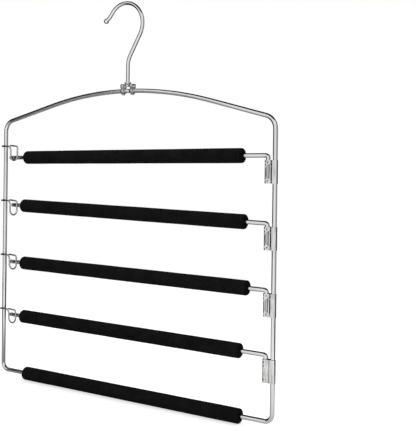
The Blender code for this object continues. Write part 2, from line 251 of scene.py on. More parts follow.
def drawn_wire(name, path, shares, diameter, finish, seed, waver=0.0, steady=0.02, sides=28):
    """A round wire along a path, made by the round_wire tree."""
    mesh = bpy.data.meshes.new(name + "_path")
    mesh.from_pydata(path, [(k, k + 1) for k in range(len(path) - 1)], [])
    mesh.attributes.new("share", 'FLOAT', 'POINT').data.foreach_set("value", shares)
    return through_tree(name, mesh, round_wire, {
        "Diameter": diameter, "Sides": sides, "Waver": waver, "Steady Length": steady,
        "Seed": seed, "Finish": finish})


def new_material(name):
    """A material with nodes, its tree and its shader."""
    material = bpy.data.materials.new(name)
    material.use_nodes = True
    return material, material.node_tree, material.node_tree.nodes["Principled BSDF"]


def shaded(tone, share=1.0):
    """A tone darkened to a share of itself, as a colour with its alpha."""
    return (*[part * share for part in tone], 1.0)


def chrome(name, tone, clean, cloudy, line_depth, ripple_depth, use_grain=True, rubbed=0.0,
           streaks=0.0):
    """Bright plating with haze, patches, lines and ripples. Clean and cloudy are its roughness,
    rubbed is how far from its start it is darkened as painted shade and made rougher by wear,
    and streaks is how much the smears darken it."""
    material, tree, shader = new_material(name)
    shader.inputs["Metallic"].default_value = 1.0
    place = add(tree, 'ShaderNodeTexCoord').outputs["Object"]
    haze = add(tree, 'ShaderNodeTexNoise', {
        "Vector": place, "Scale": 70.0, "Detail": 5.0, "Roughness": 0.6})
    gloss = add(tree, 'ShaderNodeMapRange', {
        "Value": haze.outputs[0], "From Min": 0.38, "From Max": 0.72, "To Min": clean, "To Max": cloudy})
    patches = add(tree, 'ShaderNodeTexNoise', {"Vector": place, "Scale": 26.0, "Detail": 3.0})
    tint = add(tree, 'ShaderNodeValToRGB', {0: patches.outputs[0]})
    tint.color_ramp.elements[0].position = 0.30
    tint.color_ramp.elements[0].color = shaded(tone, cloud_shade)
    tint.color_ramp.elements[1].position = 0.62
    tint.color_ramp.elements[1].color = shaded(tone)
    if use_grain:
        fibre = add(tree, 'ShaderNodeAttribute', attribute_name="grain").outputs["Vector"]
    else:
        fibre = place
    along = add(tree, 'ShaderNodeSeparateXYZ', {0: fibre}).outputs[2]
    # Painted shade: the wire's start, inside its bracket, is darkened as if shaded there; it is also
    # made rougher by wear.
    start = add(tree, 'ShaderNodeMath', {0: along, 1: rubbed}, operation='LESS_THAN')
    leg_in_bracket_mask = add(tree, 'ShaderNodeMath', {0: start.outputs[0], 1: 1.0 if rubbed else 0.0},
               operation='MULTIPLY')
    plated = add(tree, 'ShaderNodeMix', {
        0: leg_in_bracket_mask.outputs[0], 6: tint.outputs[0], 7: shaded(tone, painted_bracket_shade)}, data_type='RGBA')
    drawn = add(tree, 'ShaderNodeMapping', {"Vector": place, "Scale": (1.0, 1.0, 0.12)})
    smear = add(tree, 'ShaderNodeTexNoise', {
        "Vector": drawn.outputs[0], "Scale": 800.0, "Detail": 2.0, "Roughness": 0.55})
    dull = add(tree, 'ShaderNodeMapRange', {
        "Value": smear.outputs[0], "From Min": 0.45, "From Max": 0.62, "To Max": streaks})
    colour = add(tree, 'ShaderNodeMix', {
        0: dull.outputs[0], 6: plated.outputs[2], 7: shaded(tone, smear_shade)}, data_type='RGBA')
    tree.links.new(colour.outputs[2], shader.inputs["Base Color"])
    rough = add(tree, 'ShaderNodeMath', {0: leg_in_bracket_mask.outputs[0], 1: 0.12, 2: gloss.outputs[0]},
                operation='MULTIPLY_ADD')
    tree.links.new(rough.outputs[0], shader.inputs["Roughness"])
    run = add(tree, 'ShaderNodeMapping', {"Vector": fibre, "Scale": (1.0, 1.0, 0.02)})
    lines = add(tree, 'ShaderNodeTexNoise', {
        "Vector": run.outputs[0], "Scale": 5200.0, "Detail": 3.0, "Roughness": 0.65})
    marks = add(tree, 'ShaderNodeBump', {
        "Height": lines.outputs[0], "Strength": 0.5, "Distance": line_depth})
    ripple = add(tree, 'ShaderNodeTexNoise', {"Vector": place, "Scale": 210.0, "Detail": 1.5})
    dents = add(tree, 'ShaderNodeBump', {
        "Height": ripple.outputs[0], "Strength": 0.6, "Distance": ripple_depth,
        "Normal": marks.outputs[0]})
    tree.links.new(dents.outputs[0], shader.inputs["Normal"])
    return material


def frame_wire_path():
    """From the wire's right end in the clamp, round the frame, to its left end."""
    slope_start = crown_radius * math.sin(shoulder_slope)
    slope_top = crown_height - crown_radius * (1 - math.cos(shoulder_slope))
    corner = slope_top - (frame_side - slope_start) * math.tan(shoulder_slope)
    right_rest = math.asin((wire_end_shift + wire_end_gap / 2) / crown_radius)
    left_rest = math.asin((wire_end_shift - wire_end_gap / 2) / crown_radius)
    upright = math.pi / 2
    centre = (0, crown_height - crown_radius)
    fine = math.radians(0.6)
    right = arc(centre, crown_radius, upright - right_rest, upright - shoulder_slope, fine)
    left = arc(centre, crown_radius, upright + shoulder_slope, upright - left_rest, fine)
    corners = [right[-1], Vector((right_side, 0, corner)), Vector((right_side, 0, 0)),
               Vector((-frame_side, 0, 0)), Vector((-frame_side, 0, corner)), left[0]]
    bends = (shoulder_bend, bottom_bend, bottom_bend, shoulder_bend)
    path = right[:-1] + rounded(corners, bends) + left[1:]
    return [spot + Vector((frame_middle, 0, bar_level)) for spot in path]


frame_chrome = chrome("frame_chrome", wire_tone, clean=0.07, cloudy=0.16, line_depth=0.00002,
                      ripple_depth=0.00006)
frame_points, frame_shares = sheared_ends(frame_wire_path(), frame_diameter)
frame_piece = drawn_wire("frame_bent_wire", frame_points, frame_shares, frame_diameter,
                         frame_chrome, seed=3, waver=wire_waver)
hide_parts("frame_wire")
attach(frame_piece, "frame")


# Hook clamp: a stamped and chromed steel sheet, folded over the two wire ends. Four legs
# close round the wires and end in pointed lugs, and the flat top holds the hook's head.
clamp_length = 0.0155
clamp_shift = 0.0004
clamp_slot = 0.0085
clamp_depth = 0.0062
clamp_sheet = 0.0008
clamp_waist = math.radians(60.0)
clamp_bend = 0.0008
clamp_fold = 0.0006
clamp_edge = 0.00014
clamp_step = 0.0006
saddle_steps = 12
saddle_start_share = 0.17
saddle_shares = 0.60
clamp_leg_columns = (0.0, 0.2, 0.5, 0.8, 1.0)
clamp_top_columns = (-0.0018, 0.0, 0.0018)
shelf_rise = 0.00025
lug_length = 0.0012
lug_point = 0.0009
sheet_clearance = 0.0003
hook_diameter = 0.0039
head_diameter = 0.0054
head_height = 0.0016
head_clearance = 0.00215
drill_depth = 0.004
same_place = 1e-6
crown_level = bar_level + crown_height
wire_saddle = frame_diameter / 2 + sheet_clearance + clamp_sheet
clamp_top = frame_diameter / 2 + head_clearance + head_height + sheet_clearance + clamp_sheet


def clamp_section():
    """Half of the clamp's section, from the foot of a lug up to the middle of its top."""
    half = clamp_sheet / 2
    saddle = wire_saddle - half
    lug = half + sheet_clearance / 2
    wall = clamp_depth / 2 - half
    lowest = -math.acos(lug / saddle)
    span = clamp_waist - lowest
    turns = [lowest + span * (saddle_start_share + saddle_shares * k / saddle_steps)
             for k in range(saddle_steps + 1)]
    turns = [lowest] + turns + [clamp_waist]
    lobe = [Vector((0, saddle * math.cos(a), saddle * math.sin(a))) for a in turns]
    corners = [Vector((0, lug, -wire_saddle - lug_length))] + lobe + [
        Vector((0, wall, wire_saddle + shelf_rise)),
        Vector((0, wall, clamp_top - half)),
        Vector((0, 0, clamp_top - half))]
    folds = (clamp_fold,) + (0,) * (len(lobe) - 2) + (clamp_fold, clamp_bend, clamp_bend)
    return filled(rounded(corners, folds, math.radians(12)), clamp_step)


def settled(shape, name):
    """The worked shape as a mesh, without the points that no face uses."""
    loose = [vert for vert in shape.verts if not vert.link_faces]
    bmesh.ops.delete(shape, geom=loose, context='VERTS')
    mesh = bpy.data.meshes.new(name)
    shape.to_mesh(mesh)
    shape.free()
    return mesh


def sheet_piece(name, mesh, thickness, edge, finish, cutters=()):
    """A stamped piece: the sheet gets its thickness, its holes and its broken edges."""
    mesh.materials.append(finish)
    body = placed(name + "_blank", mesh)
    shell = body.modifiers.new("thickness", 'SOLIDIFY')
    shell.thickness = thickness
    shell.offset = 0
    shell.use_even_offset = True
    for tool in cutters:
        hole = body.modifiers.new("hole", 'BOOLEAN')
        hole.operation = 'DIFFERENCE'
        hole.solver = 'EXACT'
        hole.object = tool
    rim = body.modifiers.new("broken_edges", 'BEVEL')
    rim.width = edge
    rim.segments = 2
    rim.limit_method = 'ANGLE'
    rim.angle_limit = math.radians(50)
    rim.harden_normals = False
    piece = plain_mesh(body, name)
    for tool in cutters:
        bpy.data.objects.remove(tool)
    piece.data.shade_smooth()
    piece.data.set_sharp_from_angle(angle=math.radians(40))
    return piece


def clamp_blank():
    """The folded sheet before it gets its thickness: rows follow the section, columns its length."""
    section = clamp_section()
    slot = clamp_slot / 2
    half = clamp_length / 2
    middle = (half + slot) / 2
    legs = [slot + (half - slot) * share for share in clamp_leg_columns]
    columns = [-x for x in reversed(legs)] + list(clamp_top_columns) + legs
    lug_foot = -wire_saddle - lug_length
    shape = bmesh.new()
    slot_rows = sum(1 for spot in section if spot.z < clamp_top - clamp_sheet - sheet_clearance)
    for side in (1, -1):
        grid = []
        for x in columns:
            slant = min(1.0, abs(abs(x) - middle) / (middle - slot)) * lug_point
            line = []
            for spot in section:
                rise = slant * max(0.0, 1 - (spot.z - lug_foot) / lug_length)
                line.append(shape.verts.new((x + clamp_shift, side * spot.y,
                                             crown_level + spot.z + rise)))
            grid.append(line)
        for left, right, x in zip(grid, grid[1:], columns):
            inside = -slot - same_place < x < slot - same_place
            first = slot_rows if inside else 0
            for row in range(first, len(section) - 1):
                corners = (left[row], right[row], right[row + 1], left[row + 1])
                shape.faces.new(corners if side > 0 else corners[::-1])
    bmesh.ops.remove_doubles(shape, verts=shape.verts, dist=same_place)
    bmesh.ops.recalc_face_normals(shape, faces=shape.faces)
    return settled(shape, "hook_clamp_blank")


def stem_drill():
    """The drill for the hole in the clamp's top."""
    shape = bmesh.new()
    bore = hook_diameter / 2 + sheet_clearance
    bmesh.ops.create_cone(shape, cap_ends=True, segments=48, radius1=bore, radius2=bore,
                          depth=drill_depth)
    bmesh.ops.translate(shape, verts=shape.verts, vec=(0, 0, crown_level + clamp_top))
    return placed("stem_drill", settled(shape, "stem_drill"))


sheet_chrome = chrome("sheet_chrome", (0.80, 0.80, 0.795), clean=0.07, cloudy=0.20,
                      line_depth=0.000012, ripple_depth=0.00022, use_grain=False, streaks=0.5)
# Painted reflection: the sheet's edge tint is nearly black, so its rims turn dark at grazing angles.
dark_edge_reflection = sheet_chrome.node_tree.nodes["Principled BSDF"].inputs["Specular Tint"]
dark_edge_reflection.default_value = (0.05, 0.05, 0.05, 1.0)
clamp_piece = sheet_piece("hook_folded_clamp", clamp_blank(), clamp_sheet, clamp_edge,
                          sheet_chrome, [stem_drill()])
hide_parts("hook_clamp")
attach(clamp_piece, "frame")


# Hook: one chromed wire, headed cold at its foot so that it turns in the clamp, leaned to
# one side, bent to a round bow and a flatter lip, and formed to a ball at its tip.
hook_radius = 0.0221
hook_eye = Vector((-0.0038, 0, 0.0694))
hook_lean = math.radians(30.0)
stem_bend = 0.020
lip_turn = math.radians(142.0)
lip_straight = 0.0050
lip_bend = 0.008
lip_slope = math.radians(38.0)
tip_straight = 0.0050
tip_ball = 0.0055
ball_steps = 14
ball_close = math.radians(86.0)
head_rim = 0.0003
head_neck = 0.0001


def hook_path():
    """The hook above the crown, from its head to its ball, and its radius as shares."""
    plain = hook_diameter / 2
    head = head_diameter / 2
    top = clamp_top - clamp_sheet - sheet_clearance
    foot = top - head_height
    path = [Vector((0, 0, foot + head_rim * (1 - math.cos(a)))) for a in round_turns]
    path += [Vector((0, 0, top - head_rim * (1 - math.cos(a)))) for a in reversed(round_turns)]
    shares = [(head - head_rim * (1 - math.sin(a))) / plain for a in round_turns]
    shares += reversed(shares)
    path.append(Vector((0, 0, top + head_neck)))
    touch = hook_eye + Vector((math.cos(hook_lean), 0, -math.sin(hook_lean))) * hook_radius
    corner = Vector((0, 0, touch.z - touch.x / math.tan(hook_lean)))
    step = math.radians(3)
    lean = rounded([path[-1], corner, touch], (stem_bend,), step)
    bow = arc((hook_eye.x, hook_eye.z), hook_radius, -hook_lean, lip_turn)
    heading = Vector((-math.sin(lip_turn), 0, math.cos(lip_turn)))
    falling = Vector((-math.cos(lip_slope), 0, -math.sin(lip_slope)))
    reach = lip_bend * math.tan(heading.angle(falling) / 2)
    lip = bow[-1] + heading * (lip_straight + reach)
    centre = lip + falling * (reach + tip_straight)
    outer = rounded([bow[-1], lip, centre], (lip_bend,), step)
    path += filled(lean)[1:-1] + bow + outer[1:-1]
    shares += [1.0] * (len(path) - len(shares))
    ball = tip_ball / 2
    start = -math.acos(plain / ball)
    for k in range(ball_steps + 1):
        turn = start + (ball_close - start) * k / ball_steps
        path.append(centre + falling * ball * math.sin(turn))
        shares.append(ball * math.cos(turn) / plain)
    return [spot + Vector((0, 0, crown_level)) for spot in path], shares


hook_chrome = chrome("hook_chrome", wire_tone, clean=0.07, cloudy=0.15, line_depth=0.00002,
                     ripple_depth=0.00006)
hook_points, hook_shares = hook_path()
hook_piece = drawn_wire("hook_bent_wire", hook_points, hook_shares, hook_diameter, hook_chrome,
                        seed=7, sides=32)
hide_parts("hook_wire")
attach(hook_piece, "hook")


# Ring: a turned and chromed steel collar, pressed on the hook's stem just above the clamp,
# so that the hook can't drop through it. Its rims are well rounded.
ring_diameter = 0.0068
ring_height = 0.0017
ring_round = 0.0005
ring_clearance = 0.00005
turned_sides = 48


def turned_tree():
    """A closed profile turned about the Z axis, a little uneven; ends that were cut are marked."""
    tree, given = new_tree("turned_piece", [
        ("Profile", "Geometry"), ("Radius", "Float"), ("Sides", "Int"), ("Waver", "Float"),
        ("Seed", "Int"), ("Finish", "Material")])
    line = add(tree, 'GeometryNodeMeshToCurve', {0: given["Profile"]})
    circle = add(tree, 'GeometryNodeCurvePrimitiveCircle', {
        "Resolution": given["Sides"], "Radius": given["Radius"]})
    swept = add(tree, 'GeometryNodeCurveToMesh', {
        "Curve": circle.outputs[0], "Profile Curve": line.outputs[0]})
    outward = add(tree, 'GeometryNodeFlipFaces', {0: swept.outputs[0]})
    facing = add(tree, 'GeometryNodeInputNormal').outputs[0]
    upward = add(tree, 'ShaderNodeSeparateXYZ', {0: facing})
    level = add(tree, 'ShaderNodeMath', {0: upward.outputs[2]}, operation='ABSOLUTE')
    cut = add(tree, 'ShaderNodeMapRange', {
        "Value": level.outputs[0], "From Min": 0.6, "From Max": 0.9}, interpolation_type='SMOOTHSTEP')
    marked = add(tree, 'GeometryNodeStoreNamedAttribute', {
        0: outward.outputs[0], "Name": "cut_end", "Value": cut.outputs[0]},
        data_type='FLOAT', domain='POINT')
    swell = add(tree, 'ShaderNodeTexNoise', {"W": given["Seed"], "Scale": 22.0, "Detail": 2.0},
                noise_dimensions='4D')
    centred = add(tree, 'ShaderNodeMath', {0: swell.outputs[0], 1: 0.5}, operation='SUBTRACT')
    reach = add(tree, 'ShaderNodeMath', {0: centred.outputs[0], 1: given["Waver"]}, operation='MULTIPLY')
    offset = add(tree, 'ShaderNodeVectorMath', {0: facing, "Scale": reach.outputs[0]},
                 operation='SCALE')
    moved = add(tree, 'GeometryNodeSetPosition', {0: marked.outputs[0], "Offset": offset.outputs[0]})
    return finish_tree(tree, moved.outputs[0], given["Finish"], crease=math.radians(50))


turned_piece = turned_tree()


def turned(name, profile, radius, finish, waver=0.0, seed=0):
    """A piece turned by the turned_piece tree from (radius, height) points."""
    mesh = bpy.data.meshes.new(name + "_profile")
    points = [(out - radius, -height, 0) for out, height in profile]
    links = [(k, (k + 1) % len(points)) for k in range(len(points))]
    mesh.from_pydata(points, links, [])
    return through_tree(name, mesh, turned_piece, {
        "Radius": radius, "Sides": turned_sides, "Waver": waver, "Seed": seed, "Finish": finish})


def quarter(centre, radius, start, count=5):
    """A quarter round of a profile, anticlockwise from an angle."""
    turns = [start + math.pi / 2 * k / count for k in range(count + 1)]
    return [(centre[0] + radius * math.cos(a), centre[1] + radius * math.sin(a)) for a in turns]


ring_foot = crown_level + clamp_top + sheet_clearance
ring_bore = hook_diameter / 2 + ring_clearance
ring_out = ring_diameter / 2 - ring_round
ring_profile = [(ring_bore, 0.0)] + quarter((ring_out, ring_round), ring_round, -math.pi / 2)
ring_profile += quarter((ring_out, ring_height - ring_round), ring_round, 0.0)
ring_profile += [(ring_bore, ring_height)]
ring_piece = turned("hook_stem_ring", ring_profile, ring_diameter / 2, hook_chrome)
ring_piece.data.transform(Matrix.Translation((0, 0, ring_foot)))
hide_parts("hook_washer")
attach(ring_piece, "hook")


# Base sleeve: a tube of black foam, cut to length and pushed over the bottom bar before
# the frame was closed. It grips the wire, its skin is matt, and its cut ends show cells.
sleeve_diameter = 0.0145
sleeve_rim = 0.0013
sleeve_clearance = 0.0001
sleeve_step = 0.0022
sleeve_waver = 0.0005
cut_dish = ((0.0, 0.0012), (0.0003, 0.0005), (0.0009, 0.0001))
bare_right = 0.0352
bare_left = 0.0356


def foam_finish():
    """Black foam: a matt skin with fine cells and rubbed spots, and open cells where it was cut."""
    material, tree, shader = new_material("sleeve_foam")
    shader.inputs["Specular IOR Level"].default_value = 0.10
    place = add(tree, 'ShaderNodeTexCoord').outputs["Object"]
    cells = add(tree, 'ShaderNodeTexVoronoi', {"Vector": place, "Scale": 1500.0})
    rubbed = add(tree, 'ShaderNodeTexNoise', {
        "Vector": place, "Scale": 90.0, "Detail": 6.0, "Roughness": 0.7})
    specks = add(tree, 'ShaderNodeTexNoise', {"Vector": place, "Scale": 900.0, "Detail": 2.0})
    mixed = add(tree, 'ShaderNodeMath', {0: rubbed.outputs[0], 1: specks.outputs[0]},
                operation='MULTIPLY')
    colour = add(tree, 'ShaderNodeValToRGB', {0: mixed.outputs[0]})
    colour.color_ramp.elements[0].position = 0.12
    colour.color_ramp.elements[0].color = (0.0040, 0.0039, 0.0040, 1.0)
    colour.color_ramp.elements[1].position = 0.45
    colour.color_ramp.elements[1].color = (0.0120, 0.0118, 0.0122, 1.0)
    cut = add(tree, 'ShaderNodeAttribute', attribute_name="cut_end").outputs["Fac"]
    dark = add(tree, 'ShaderNodeMix', {
        0: cut, 6: colour.outputs[0], 7: (0.004, 0.004, 0.0042, 1.0)}, data_type='RGBA')
    tree.links.new(dark.outputs[2], shader.inputs["Base Color"])
    gloss = add(tree, 'ShaderNodeMapRange', {
        "Value": rubbed.outputs[0], "From Min": 0.3, "From Max": 0.7, "To Min": 0.95, "To Max": 0.72})
    tree.links.new(gloss.outputs[0], shader.inputs["Roughness"])
    depth = add(tree, 'ShaderNodeMapRange', {"Value": cut, "To Min": 0.25, "To Max": 1.0})
    pores = add(tree, 'ShaderNodeBump', {
        "Height": cells.outputs[0], "Strength": depth.outputs[0], "Distance": 0.0004})
    hollows = add(tree, 'ShaderNodeBump', {
        "Height": rubbed.outputs[0], "Strength": 0.4, "Distance": 0.0006, "Normal": pores.outputs[0]})
    tree.links.new(hollows.outputs[0], shader.inputs["Normal"])
    return material


sleeve_foam = foam_finish()


def foam_sleeve(name, node, start, stop, wire_diameter, seed):
    """One sleeve between two points on a wire, in place of its CAD solid."""
    half = (stop - start).length / 2
    outer = sleeve_diameter / 2
    bore = wire_diameter / 2 + sleeve_clearance
    rim = outer - sleeve_rim
    face = [(bore + out, -half + depth) for out, depth in cut_dish]
    side = quarter((rim, -half + sleeve_rim), sleeve_rim, -math.pi / 2)
    rings = round(half / sleeve_step)
    wall = [(outer, -half + sleeve_rim + (2 * half - 2 * sleeve_rim) * k / rings)
            for k in range(1, rings)]
    end = [(out, -height) for out, height in reversed(face + side)]
    profile = face + side + wall + end
    piece = turned(name, profile, outer, sleeve_foam, waver=sleeve_waver, seed=seed)
    turn = Vector((0, 0, 1)).rotation_difference(stop - start).to_matrix().to_4x4()
    piece.data.transform(Matrix.Translation((start + stop) / 2) @ turn)
    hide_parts(node)
    return piece


base_foam = foam_sleeve("base_foam_sleeve", "base_sleeve",
                        Vector((frame_middle - frame_side + bare_left, 0, bar_level)),
                        Vector((frame_middle + frame_side - bare_right, 0, bar_level)),
                        frame_diameter, 11)
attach(base_foam, "frame")


# Hinge brackets: four chromed sheets, each folded round the frame wire and round the leg of
# an arm. A window leaves two bands round the leg, and the press left small dents and pips
# in the sheet. The lowest one is turned front to back, and a groove runs down its plate.
bracket_height = 0.0218
bracket_sheet = 0.0006
bracket_edge = 0.00012
bracket_step = 0.0004
frame_clearance = 0.0001
leg_clearance = 0.0002
leg_fold = 0.0019
flap_reach = 0.0040
flap_rise = 0.0004
frame_fold = 0.0012
side_end = 0.0003
upper_band = 0.0061
upper_band_slant = 0.0024
lower_band = 0.0062
lower_band_slant = 0.0021
window_shares = (0.18, 0.66)
dent_depth = 0.0006
pip_height = 0.0007
mark_spread = 0.0011
marked_share = 0.6
band_rows = 18
window_rows = 14
press_marks = ((-0.0014, 0.0032), (0.0015, 0.0023), (-0.0014, 0.0158), (0.0016, 0.0161),
               (-0.0014, 0.0192), (0.0015, 0.0195))
groove_depth = 0.0005
groove_half = 0.0016
arm_diameter = 0.0043
leg_wrap = arm_diameter / 2 + leg_clearance + bracket_sheet / 2
frame_wrap = frame_diameter / 2 + frame_clearance + bracket_sheet / 2
hinge_places = [Vector(joint["pos_m"]) for joint in frame["joints"] if joint["parent"] == "frame"]
hinge_spacing = frame_middle + right_side - hinge_places[0].x


def bracket_blank(facing, top):
    """The folded sheet before it gets its thickness; facing is 1 with the plate at the back."""
    outer = -hinge_spacing - leg_wrap
    free_end = Vector((flap_reach - hinge_spacing, 0, flap_rise - leg_wrap))
    bend = Vector((outer, 0, -leg_wrap))
    opens, closes = [free_end.lerp(bend, share) for share in window_shares]
    corners = [closes, bend, Vector((outer, 0, leg_wrap))]
    if facing > 0:
        corners += [Vector((-frame_wrap, 0, leg_wrap)), Vector((-frame_wrap, 0, -frame_wrap)),
                    Vector((frame_wrap, 0, -frame_wrap)), Vector((frame_wrap, 0, side_end))]
    else:
        corners += [Vector((frame_wrap, 0, leg_wrap)), Vector((frame_wrap, 0, -side_end))]
    folds = [leg_fold] * 2 + [frame_fold] * (len(corners) - 4)
    rest = rounded(corners, folds, math.radians(10))
    section = filled([free_end, opens] + rest, bracket_step)
    first_open = len(filled([free_end, opens], bracket_step)) - 1
    last_open = len(filled([free_end, opens, closes], bracket_step)) - 1
    shape = bmesh.new()
    grid = []
    for spot in section:
        across = min(1.0, max(0.0, (spot.x - closes.x) / (opens.x - closes.x)))
        low = lower_band - lower_band_slant * across
        high = bracket_height - upper_band + upper_band_slant * across
        levels = [low * k / band_rows for k in range(band_rows)]
        levels += [low + (high - low) * k / window_rows for k in range(window_rows)]
        levels += [high + (bracket_height - high) * k / band_rows for k in range(band_rows + 1)]
        line = []
        for level in levels:
            depth = spot.z
            if facing < 0 and spot.z > 0:
                off = abs(spot.x + hinge_spacing / 2) / groove_half
                depth -= groove_depth * max(0.0, 1 - off)
            press = dent_depth if spot.z > 0 else pip_height
            for across_leg, rise in press_marks:
                off = math.hypot(spot.x + hinge_spacing - across_leg, level - rise) / mark_spread
                if off < 1 and abs(spot.z) > leg_wrap * marked_share:
                    depth -= press * (1 + math.cos(math.pi * off)) / 2
            line.append(shape.verts.new((frame_middle + right_side + spot.x, facing * depth,
                                         top - bracket_height + level)))
        grid.append(line)
    for column, (first, second) in enumerate(zip(grid, grid[1:])):
        for row in range(len(first) - 1):
            if first_open <= column < last_open and 0 <= row - band_rows < window_rows:
                continue
            corners = (first[row], second[row], second[row + 1], first[row + 1])
            shape.faces.new(corners if facing > 0 else corners[::-1])
    return settled(shape, "hinge_bracket_blank")


for number, hinge in enumerate(hinge_places, 1):
    facing = -1 if number == len(hinge_places) else 1
    bracket = sheet_piece(f"rolled_bracket_{number}", bracket_blank(facing, hinge.z), bracket_sheet,
                          bracket_edge, sheet_chrome)
    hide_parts(f"hinge_bracket_{number}")
    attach(bracket, "frame")


# Tip loops: thin chromed wire, spot welded across the front of the left upright. Each loop
# hangs down in a long U, and the tip of an arm comes to rest behind it.
loop_diameter = 0.0018
loop_rises = (0.0125, 0.0125, 0.0125, 0.0115)
loop_stub = 0.0026
loop_neck = 0.0088
loop_near_leg = 0.0112
loop_far_leg = 0.0219
loop_drops = (0.0160, 0.0160, 0.0155, 0.0146)
loop_end = 0.0106
loop_end_rise = 0.0008
loop_corner = 0.0026
loop_edge = 0.0002
loop_gap = 0.0003
loop_front = (frame_diameter + loop_diameter) / 2 + loop_gap
bead_size = (0.0017, 0.0010, 0.0014)
bead_inset = 0.0008
bead_swell = 0.16


def loop_path(drop):
    """A tip loop from its welded stub round to its free end."""
    crook_radius = (loop_far_leg - loop_near_leg) / 2
    centre = ((loop_far_leg + loop_near_leg) / 2, crook_radius - drop)
    crook = arc(centre, crook_radius, math.pi, 2 * math.pi, math.radians(8))
    near = [Vector((-loop_stub, 0, 0)), Vector((loop_neck, 0, 0)),
            Vector((loop_near_leg, 0, -loop_corner - loop_diameter / 2)), crook[0]]
    far = [crook[-1], Vector((loop_far_leg, 0, 0)), Vector((loop_end, 0, loop_end_rise))]
    step = math.radians(10)
    start = rounded(near, (loop_corner / 2, loop_corner), step)
    close = rounded(far, (loop_corner,), step)
    return start[:-1] + crook + close[1:]


def weld_bead(place):
    """A small nugget that a spot weld leaves between the loop wire and the upright."""
    shape = bmesh.new()
    bmesh.ops.create_icosphere(shape, subdivisions=3, radius=1.0)
    for vert in shape.verts:
        wave = math.sin(5 * vert.co.x + 3 * vert.co.z) * math.cos(4 * vert.co.z)
        vert.co = vert.co * Vector(bead_size) * (1 + bead_swell * wave) + place
    mesh = settled(shape, "weld_bead")
    mesh.shade_smooth()
    return mesh


loop_chrome = chrome("loop_chrome", (0.60, 0.60, 0.60), clean=0.09, cloudy=0.22,
                     line_depth=0.00001, ripple_depth=0.00004)
for number, hinge in enumerate(hinge_places, 1):
    index = number - 1
    loop_points, loop_shares = sheared_ends(loop_path(loop_drops[index]), loop_diameter, loop_edge)
    corner = Vector((frame_middle - frame_side, -loop_front, hinge.z + loop_rises[index]))
    loop = drawn_wire(f"stop_loop_{number}", [spot + corner for spot in loop_points], loop_shares,
                      loop_diameter, loop_chrome, seed=20 + number, sides=20)
    bead = weld_bead(corner + Vector((0, bead_inset, 0)))
    both = bmesh.new()
    both.from_mesh(loop.data)
    both.from_mesh(bead)
    both.to_mesh(loop.data)
    both.free()
    bpy.data.meshes.remove(bead)
    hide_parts(f"tip_loop_{number}")
    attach(loop, "frame")


# Arms: four chromed wires, each bent over a tight elbow. The leg turns in its bracket, and
# the long run carries a foam sleeve. They were bent by hand, so no two lie quite level.
elbow_bend = 0.0026
leg_end_inset = 0.0006
# The length of an arm's leg inside its bracket, which gets painted shade and a rougher finish from wear.
leg_length_in_bracket = bracket_height - 0.0012
elbow_clearances = (0.00225, 0.00085, 0.00065, 0.00145)
tip_rises = (-0.0049, 0.0046, 0.0020, 0.0018)
tip_insets = (0.008, 0.012, 0.011, 0.011)
bare_by_hinge = (0.0273, 0.0240, 0.0206, 0.0278)
bare_by_tip = (0.0261, 0.0180, 0.0194, 0.0196)

arm_chrome = chrome("arm_chrome", wire_tone, clean=0.07, cloudy=0.16, line_depth=0.00002,
                    ripple_depth=0.00006, rubbed=leg_length_in_bracket)
for number, hinge in enumerate(hinge_places, 1):
    index = number - 1
    elbow = hinge + Vector((0, 0, arm_diameter / 2 + elbow_clearances[index]))
    reach = 2 * frame_side - hinge_spacing - tip_insets[index]
    tip = elbow + Vector((-reach, 0, tip_rises[index]))
    foot = hinge + Vector((0, 0, leg_end_inset - bracket_height))
    points, shares = sheared_ends(rounded([foot, elbow, tip], (elbow_bend,)), arm_diameter)
    arm = drawn_wire(f"arm_bent_wire_{number}", points, shares, arm_diameter, arm_chrome,
                     seed=30 + number, waver=wire_waver, steady=0.03)
    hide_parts(f"arm_wire_{number}")
    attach(arm, f"arm_{number}")
    along = (tip - elbow).normalized()
    sleeve = foam_sleeve(f"arm_foam_sleeve_{number}", f"arm_sleeve_{number}",
                         tip - along * bare_by_tip[index], elbow + along * bare_by_hinge[index],
                         arm_diameter, 40 + number)
    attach(sleeve, f"arm_{number}")


# Studio: a pale floor on which the lowest sleeve rests, a white surround with a darker
# room at the sides for the chrome to mirror, soft lamps, and the photograph's camera.
floor_gap = 0.0003
floor_half = 0.7
floor_level = bar_level - sleeve_diameter / 2 - floor_gap
lamp_aim = Vector((0, 0, -0.2))
camera_place = (0.5518, -0.6951, -0.1605)
camera_turn = math.radians(33.0)
camera_roll = math.radians(0.688)


